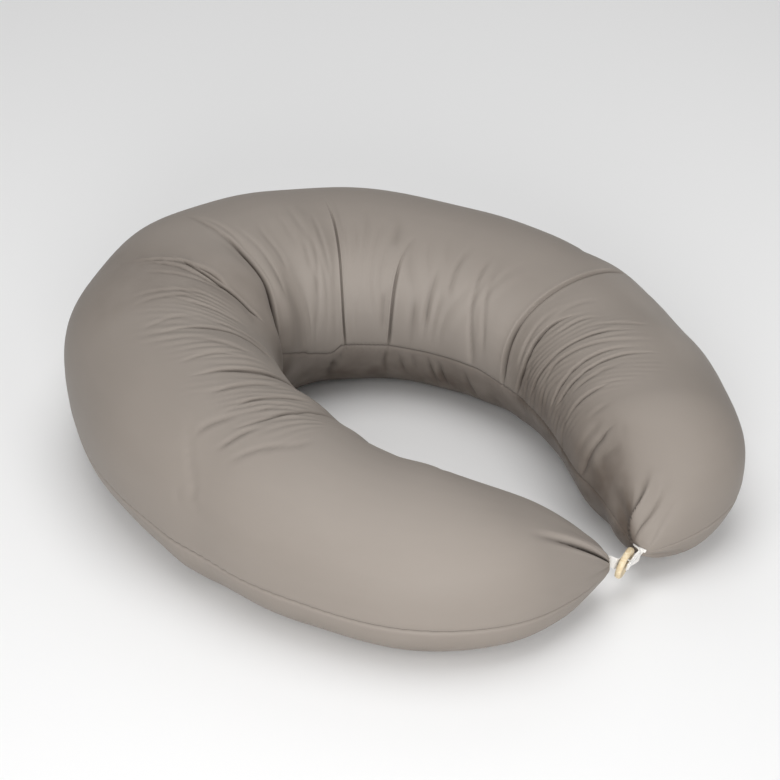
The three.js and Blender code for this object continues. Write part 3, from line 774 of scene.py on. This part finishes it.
# Painted light in the lit patches.
painted_light = sum(patch(row) for row in LIT_PATCHES)
for name, values in (("hollow", hollow), ("shaded", shaded), ("painted_light", painted_light)):
    shade = cushion.data.attributes.new(name, "FLOAT", "POINT")
    shade.data.foreach_set("value", np.concatenate([values.ravel(), [0, 0]]))
girth = np.linalg.norm(np.diff(np.concatenate([surface, surface[:, :1]], axis=1), axis=1), axis=-1)
girth = np.concatenate([np.zeros((FINE_COLUMNS, 1)), np.cumsum(girth, axis=1)], axis=1)
row_count = len(rows)
loops = np.empty(len(cushion.data.loops), dtype=np.int32)
cushion.data.loops.foreach_get("vertex_index", loops)
column, row = np.minimum(loops // row_count, FINE_COLUMNS - 1), loops % row_count
face_of = np.repeat(np.arange(len(cushion.data.polygons)), [p.loop_total for p in cushion.data.polygons])
wraps = (face_of % row_count == row_count - 1) & (row == 0)
cloth_uv = cushion.data.uv_layers.new(name="cloth")
uv = np.stack([fine_at[column, row] * MM, girth[column, np.where(wraps, row_count, row)] * MM], axis=-1)
cloth_uv.data.foreach_set("uv", uv.ravel())

sateen = Finish("taupe_sateen")
TAUPE = (0.250, 0.218, 0.190, 1.0)
TAUPE_DEEP = (0.050, 0.038, 0.030, 1.0)
TAUPE_SHADED = (0.112, 0.087, 0.069, 1.0)
# Paler cloth, used for random tone and for painted highlights.
TAUPE_PALE_AND_LIT = (0.312, 0.276, 0.245, 1.0)
THREAD_TURNS = 2 * math.pi * 1800.0
cloud = sateen.node("ShaderNodeTexNoise", None, {"Scale": 9.0, "Detail": 3.0})
hollowness = sateen.node("ShaderNodeAttribute", {"attribute_name": "hollow"}, output="Fac")
low_down = sateen.node("ShaderNodeAttribute", {"attribute_name": "shaded"}, output="Fac")
painted_light_fac = sateen.node("ShaderNodeAttribute", {"attribute_name": "painted_light"}, output="Fac")
# Paler in random noise, with painted highlights beside the seams, on raised cloth and in the lit patches.
paleness = hollowness * -0.5 + cloud * 0.25 + painted_light_fac * 0.9
tone = sateen.blend(paleness.held(0.0, 1.2), TAUPE, TAUPE_PALE_AND_LIT)
cloth_place = sateen.node("ShaderNodeTexCoord", output="Object")
shade_mottle = sateen.node("ShaderNodeTexNoise", None, {"Vector": cloth_place, "Scale": 34.0, "Detail": 2.0})
# Painted shade, mottled, low down, in the bend and below the inner seam.
tone = sateen.blend((low_down * (shade_mottle * 1.5)).held(0.0, 1.0), tone, TAUPE_SHADED)
# Painted shade down in the creases, pleats and seam grooves.
tone = sateen.blend(hollowness.held(0.0, 1.0) ** 1.5 * 0.95, tone, TAUPE_DEEP)
cloth_map = sateen.node("ShaderNodeUVMap", {"uv_map": "cloth"})
warp, weft = (
    (sateen.node("ShaderNodeSeparateXYZ", None, {0: cloth_map}, output=way) * THREAD_TURNS).sine()
    for way in (0, 1))
weave = sateen.node("ShaderNodeBump", None, {"Height": warp * weft, "Strength": 0.12, "Distance": 0.0002})
cushion.data.materials.append(sateen.surface(
    Base_Color=tone, Roughness=0.62, Sheen_Weight=0.05, Sheen_Roughness=0.4, Specular_IOR_Level=0.3,
    Normal=weave))
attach(cushion, "root")
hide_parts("cushion")

# The tabs. Two short strips of bleached cotton tape, folded double and machine stitched along both
# edges. Each is sewn into the gathers of one tip; the far one has a worked buttonhole along it.
TAPE_THICKNESS = 1.4
NEAR_TAPE_WIDTH, FAR_TAPE_WIDTH, FAR_TAPE_END_WIDTH = 12, 13, 8.5
OFF_TIP = 0.35
TAPE_STEPS = 96
BUTTONHOLE = {"width": 1.2, "start": 48, "stop": 84}
BUTTON_THICKNESS = 5.6
BUTTON_FACING = Vector((0.285, -0.935, -0.22)).normalized()
button_low, button_high = (Vector(corner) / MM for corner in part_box("button"))
button_centre = (button_low + button_high) / 2
button_up = (Vector((0, 0, 1)) - BUTTON_FACING * BUTTON_FACING.z).normalized()
button_side = button_up.cross(BUTTON_FACING).normalized()
STITCH_LENGTH, STITCH_GAP, STITCH_THICK = 2.1, 0.7, 0.42
STITCH_LINE, STITCH_MARGIN, STITCH_STOPS = 0.78, 1.0, 5
BAR_STITCHES, BAR_LENGTH = 34, 1.25
THREAD_SIDES = 6


def on_button(side, up, out):
    return button_centre + button_side * side + button_up * up + BUTTON_FACING * out


def off_tip(last, step):
    """A place in line with a tip of the cushion, a step beyond its end."""
    end = -1 if last else 0
    way = Vector((math.cos(heading[end]), math.sin(heading[end]), 0)) * (1 if last else -1)
    level = FAR_END["level"] if last else NEAR_END["level"]
    return Vector((line_x[end] + shift[0], line_y[end] + shift[1], level)) + way * step


def through(stops, share):
    """Place on the smooth path through the stops, and the stops' other values, at a share of it."""
    exact = share * (len(stops) - 1)
    i = min(int(exact), len(stops) - 2)
    t = exact - i
    b, c = stops[i][0], stops[i + 1][0]
    a = stops[i - 1][0] if i > 0 else b * 2 - c
    d = stops[i + 2][0] if i + 2 < len(stops) else c * 2 - b
    near, mid, far = ((p - q).length ** 0.5 for p, q in ((b, a), (c, b), (d, c)))
    leaving = ((b - a) / near - (c - a) / (near + mid) + (c - b) / mid) * mid
    arriving = ((c - b) / mid - (d - b) / (mid + far) + (d - c) / far) * mid
    shares = smooth_shares(t)
    place = b * shares[0] + leaving * shares[1] + c * shares[2] + arriving * shares[3]
    across = stops[i][1].lerp(stops[i + 1][1], t)
    width = stops[i][2] + (stops[i + 1][2] - stops[i][2]) * t
    return place, across, width


def tape_frame(stops, share):
    """Place, direction across, direction out of the face and width of a tape at a share of its way."""
    place, across, width = through(stops, share)
    way = (through(stops, min(share + 0.004, 1))[0] - through(stops, max(share - 0.004, 0))[0]).normalized()
    across = (across - way * across.dot(way)).normalized()
    return place, across, way.cross(across).normalized(), width


def tape_mesh(name, stops, slit):
    """A double tape: thin at its folded edges, drawn in along both stitch lines, full between."""
    profile = [(-1, 0.45), (-0.95, 0.8), (-0.86, 0.92), (-0.78, 0.72), (-0.7, 0.92), (-0.5, 1), (-0.25, 1),
               (0, 1), (0.25, 1), (0.5, 1), (0.7, 0.92), (0.78, 0.72), (0.86, 0.92), (0.95, 0.8), (1, 0.45)]
    if slit:
        profile = [row for row in profile if row[0]]
        profile[7:7] = [(-0.01, 0.9), (0.01, 0.9)]
    lanes = len(profile)
    points, faces = [], []
    for i in range(TAPE_STEPS + 1):
        place, across, normal, width = tape_frame(stops, i / TAPE_STEPS)
        for face in (1, -1):
            for lane, thick in profile:
                aside = math.copysign(slit["width"] / 2, lane) if abs(lane) == 0.01 else lane * width / 2
                rib = 0.05 * math.cos(i * math.pi) if 0.05 < abs(lane) < 0.9 else 0
                out = face * TAPE_THICKNESS / 2 * (thick - 0.05 + rib)
                points.append((place + across * aside + normal * out) * MM)

    def filled(i, lane):
        if not (0 <= i < TAPE_STEPS and 0 <= lane < lanes - 1):
            return False
        return not (slit and profile[lane][0] == -0.01 and slit["start"] <= i < slit["stop"])

    for i in range(TAPE_STEPS):
        for lane in range(lanes - 1):
            if not filled(i, lane):
                continue
            corner = [(i, lane), (i + 1, lane), (i + 1, lane + 1), (i, lane + 1)]
            top = [2 * k * lanes + m for k, m in corner]
            under = [index + lanes for index in top]
            faces += [top, under[::-1]]
            for beside, pair in (((i - 1, lane), (0, 3)), ((i + 1, lane), (2, 1)),
                                 ((i, lane - 1), (1, 0)), ((i, lane + 1), (3, 2))):
                if not filled(*beside):
                    faces.append([top[pair[0]], top[pair[1]], under[pair[1]], under[pair[0]]])
    mesh = smooth_mesh(name, points, faces)
    mesh.validate()
    return mesh


def thread_mesh(name, runs, thick):
    """One mesh of many short lengths of thread, each a round tube through its own points."""
    points, faces = [], []
    sides = THREAD_SIDES
    for run in runs:
        first = len(points)
        for i, place in enumerate(run):
            way = (run[min(i + 1, len(run) - 1)] - run[max(i - 1, 0)]).normalized()
            side = way.orthogonal().normalized()
            other = way.cross(side)
            reach = thick / 2 * (0.55 if i in (0, len(run) - 1) else 1)
            for k in range(sides):
                turn = 2 * math.pi * k / sides
                points.append((place + side * reach * math.cos(turn) + other * reach * math.sin(turn)) * MM)
        for i in range(len(run) - 1):
            for k in range(sides):
                a, b = first + i * sides + k, first + i * sides + (k + 1) % sides
                faces.append([a, b, b + sides, a + sides])
        faces.append(list(range(first, first + sides))[::-1])
        end = first + (len(run) - 1) * sides
        faces.append(list(range(end, end + sides)))
    return smooth_mesh(name, points, faces)


def tape_length(stops):
    walk = [through(stops, k / 60)[0] for k in range(61)]
    return sum((b - a).length for a, b in zip(walk, walk[1:]))


def edge_stitches(stops):
    """Both stitch lines of a tape, on both of its faces."""
    length = tape_length(stops)
    runs = []
    for line in (-STITCH_LINE, STITCH_LINE):
        for face in (1, -1):
            begun = STITCH_MARGIN
            while begun + STITCH_LENGTH < length - STITCH_MARGIN:
                run = []
                for k in range(STITCH_STOPS + 1):
                    part = k / STITCH_STOPS
                    share = (begun + STITCH_LENGTH * part) / length
                    place, across, normal, width = tape_frame(stops, share)
                    lift = TAPE_THICKNESS / 2 * 0.72 + 0.16 * math.sin(math.pi * part) - 0.1
                    run.append(place + across * line * width / 2 + normal * face * lift)
                runs.append(run)
                begun += STITCH_LENGTH + STITCH_GAP
    return runs


def buttonhole_stitches(stops, slit):
    """Close bar stitches over both edges of the slit, on both faces."""
    runs = []
    for side in (-1, 1):
        for k in range(BAR_STITCHES):
            along = (slit["stop"] - slit["start"]) * (k + 0.5) / BAR_STITCHES
            place, across, normal, width = tape_frame(stops, (slit["start"] + along) / TAPE_STEPS)
            edge = slit["width"] / 2 + 0.05
            back = edge + BAR_LENGTH
            lift = TAPE_THICKNESS / 2 + 0.08
            loop = [(back, lift - 0.2), (back - 0.2, lift), (edge + 0.2, lift), (edge, 0.3),
                    (edge, -0.3), (edge + 0.2, -lift), (back - 0.2, -lift)]
            runs.append([place + across * side * aside + normal * out for aside, out in loop])
    return runs


upright, level = Vector((0, 0, 1)), Vector((0, 1, 0))
behind = -(BUTTON_THICKNESS / 2 + OFF_TIP + TAPE_THICKNESS / 2)
near_stops = [
    (off_tip(False, OFF_TIP), upright, NEAR_TAPE_WIDTH),
    (off_tip(False, 4), upright, NEAR_TAPE_WIDTH),
    (on_button(-6, 0.4, behind - 1.4), button_up, NEAR_TAPE_WIDTH),
    (on_button(0, 0, behind - 0.2), button_up, NEAR_TAPE_WIDTH),
    (on_button(6.5, 0, behind - 0.2), button_up, NEAR_TAPE_WIDTH),
]
far_stops = [
    (off_tip(True, OFF_TIP), level.lerp(button_up, 0.1), FAR_TAPE_WIDTH),
    (off_tip(True, 1.8), level.lerp(button_up, 0.4), FAR_TAPE_WIDTH),
    (on_button(14.5, 3.4, 3 - behind), level.lerp(button_up, 0.85), FAR_TAPE_WIDTH),
    (on_button(6, 0.4, 0.9 - behind), button_up, FAR_TAPE_WIDTH - 1),
    (on_button(-3.5, 0, 0.1 - behind), button_up, FAR_TAPE_END_WIDTH),
]
TAPE_WHITE = (0.80, 0.785, 0.76, 1.0)
TAPE_GREY = (0.70, 0.68, 0.645, 1.0)
THREAD_WHITE = (0.86, 0.85, 0.83, 1.0)
THREAD_GREY = (0.72, 0.71, 0.68, 1.0)
linen = Finish("bleached_tape")
tape_place = linen.node("ShaderNodeTexCoord", output="Object")
mottle = linen.node("ShaderNodeTexNoise", None, {"Vector": tape_place, "Scale": 260.0, "Detail": 3.0})
tape_tone = linen.blend((mottle * 1.6 - 0.4).held(0.0, 1.0), TAPE_WHITE, TAPE_GREY)
twill = linen.node("ShaderNodeTexWave", {"wave_type": "BANDS", "bands_direction": "DIAGONAL"},
                   {"Vector": tape_place, "Scale": 320.0, "Distortion": 1.2, "Detail": 1.0})
linen_bump = linen.node("ShaderNodeBump", None, {"Height": twill, "Strength": 0.35, "Distance": 0.0003})
linen_cloth = linen.surface(Base_Color=tape_tone, Roughness=0.85, Normal=linen_bump, Sheen_Weight=0.1)
thread = Finish("white_thread")
ply = thread.node("ShaderNodeTexNoise", None, {"Scale": 900.0, "Detail": 1.0})
thread_tone = thread.blend(ply, THREAD_WHITE, THREAD_GREY)
white_thread = thread.surface(Base_Color=thread_tone, Roughness=0.6)
for name, node, stops, slit in (("near_tape", "near_tab", near_stops, None),
                                ("far_tape", "far_tab", far_stops, BUTTONHOLE)):
    tape = put(name, tape_mesh(name, stops, slit))
    tape.data.materials.append(linen_cloth)
    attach(tape, "root")
    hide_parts(node)
    runs = edge_stitches(stops) + (buttonhole_stitches(stops, slit) if slit else [])
    sewn = name + "_stitching"
    stitching = put(sewn, thread_mesh(sewn, runs, STITCH_THICK))
    stitching.data.materials.append(white_thread)
    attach(stitching, "root")
    wide = (stops[0][2] + stops[-1][2]) / 2
    tape_length(stops) * MM
    wide * MM

# The button. Turned from a pale hardwood, with a rounded rim, a shallow dish and two holes, and sewn
# to the near tape by a few strands of white thread, which also hold the far tape's end.
BUTTON_RADIUS, BUTTON_RIM, DISH_DEPTH = 15.0, 1.8, 0.9
HOLE_RADIUS, HOLE_OFFSET = 1.3, 5.2
BUTTON_SIDES, HOLE_SIDES = 96, 24
DRILL_HALF = 9.0


def button_outline():
    """Half the button's section, from the middle of its face round the rim to the middle of its back."""
    half = BUTTON_THICKNESS / 2
    dish = ((0, 1), (3, 1), (7.5, 1), (9.6, 0.85), (10.8, 0.4), (11.6, 0.08), (12.3, 0))
    outline = [(reach, half - sunk * DISH_DEPTH) for reach, sunk in dish]
    for k in range(1, 10):
        turn = math.pi / 2 - math.pi * k / 10
        outline.append((BUTTON_RADIUS - BUTTON_RIM + BUTTON_RIM * math.cos(turn), half * math.sin(turn)))
    return outline + [(12.6, -half), (7, -half), (0, -half)]


def button_mesh():
    outline = button_outline()
    points, faces = [], []
    for reach, out in outline[1:-1]:
        for k in range(BUTTON_SIDES):
            turn = 2 * math.pi * k / BUTTON_SIDES
            points.append((reach * math.cos(turn) * MM, reach * math.sin(turn) * MM, out * MM))
    points += [(0, 0, outline[0][1] * MM), (0, 0, outline[-1][1] * MM)]
    front, back, rings = len(points) - 2, len(points) - 1, len(outline) - 2
    for k in range(BUTTON_SIDES):
        after = (k + 1) % BUTTON_SIDES
        faces.append([front, k, after])
        faces.append([back, (rings - 1) * BUTTON_SIDES + after, (rings - 1) * BUTTON_SIDES + k])
        for ring in range(rings - 1):
            here = ring * BUTTON_SIDES
            faces.append([here + k, here + k + BUTTON_SIDES, here + after + BUTTON_SIDES, here + after])
    return smooth_mesh("button_turned", points, faces)


button = put("wood_button", button_mesh())
for side in (-1, 1):
    drill_mesh = bpy.data.meshes.new("drill")
    turns = [2 * math.pi * k / HOLE_SIDES for k in range(HOLE_SIDES)]
    ring = [(HOLE_RADIUS * math.cos(a), HOLE_RADIUS * math.sin(a) + side * HOLE_OFFSET) for a in turns]
    edge = list(range(HOLE_SIDES))
    walls = [[a, b, HOLE_SIDES + b, HOLE_SIDES + a] for a, b in zip(edge, edge[1:] + edge[:1])]
    caps = [edge[::-1], [HOLE_SIDES + a for a in edge]]
    drill_mesh.from_pydata([(x * MM, y * MM, z * MM) for z in (-DRILL_HALF, DRILL_HALF) for x, y in ring],
                           [], walls + caps)
    drill = put("drill", drill_mesh)
    cut = button.modifiers.new("hole", "BOOLEAN")
    cut.operation = "DIFFERENCE"
    cut.object = drill
    cut.solver = "EXACT"
    drilled = bpy.data.meshes.new_from_object(button.evaluated_get(bpy.context.evaluated_depsgraph_get()))
    button.modifiers.clear()
    button.data = drilled
    bpy.data.objects.remove(drill)
axes = np.array([button_side, button_up, BUTTON_FACING])
sewn_on = corners_of(button.data) @ axes + np.array(button_centre) * MM
button.data.vertices.foreach_set("co", sewn_on.ravel())
button.data.update()
WOOD_PALE = (0.76, 0.66, 0.47, 1.0)
WOOD_GRAIN = (0.60, 0.46, 0.27, 1.0)
GRAIN_SCALE = (260.0, 60.0, 900.0)
maple = Finish("pale_wood")
wood_place = maple.node("ShaderNodeTexCoord", output="Object")
stretched = maple.node("ShaderNodeMapping", None, {"Vector": wood_place, "Scale": GRAIN_SCALE})
grain_look = {"Vector": stretched, "Scale": 1.0, "Detail": 5.0, "Distortion": 0.8}
grain = maple.node("ShaderNodeTexNoise", None, grain_look)
wood_tone = maple.blend((grain * 2.2 - 0.6).held(0.0, 1.0), WOOD_PALE, WOOD_GRAIN)
wood_bump = maple.node("ShaderNodeBump", None, {"Height": grain, "Strength": 0.2, "Distance": 0.0003})
button.data.materials.clear()
button.data.materials.append(maple.surface(Base_Color=wood_tone, Roughness=0.45, Normal=wood_bump))
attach(button, "root")
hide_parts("button")

STRANDS, STRAND_STOPS, STRAND_THICK = 4, 17, 0.55
strands = []
for k in range(STRANDS):
    aside = (k - (STRANDS - 1) / 2) * 0.5
    over = BUTTON_THICKNESS / 2 + OFF_TIP + TAPE_THICKNESS + 0.4 + 0.12 * (k % 2)
    run = []
    for share in np.linspace(0, 1, STRAND_STOPS):
        rise = math.sin(math.pi * share)
        out = -BUTTON_THICKNESS / 2 + (over + BUTTON_THICKNESS / 2) * min(1.0, 2.6 * rise ** 0.7)
        up = HOLE_OFFSET * math.cos(math.pi * share)
        run.append(on_button(aside * (0.6 + 0.4 * rise), up, out))
    strands.append(run)
sewing = put("button_thread", thread_mesh("button_thread", strands, STRAND_THICK))
sewing.data.materials.append(white_thread)
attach(sewing, "root")
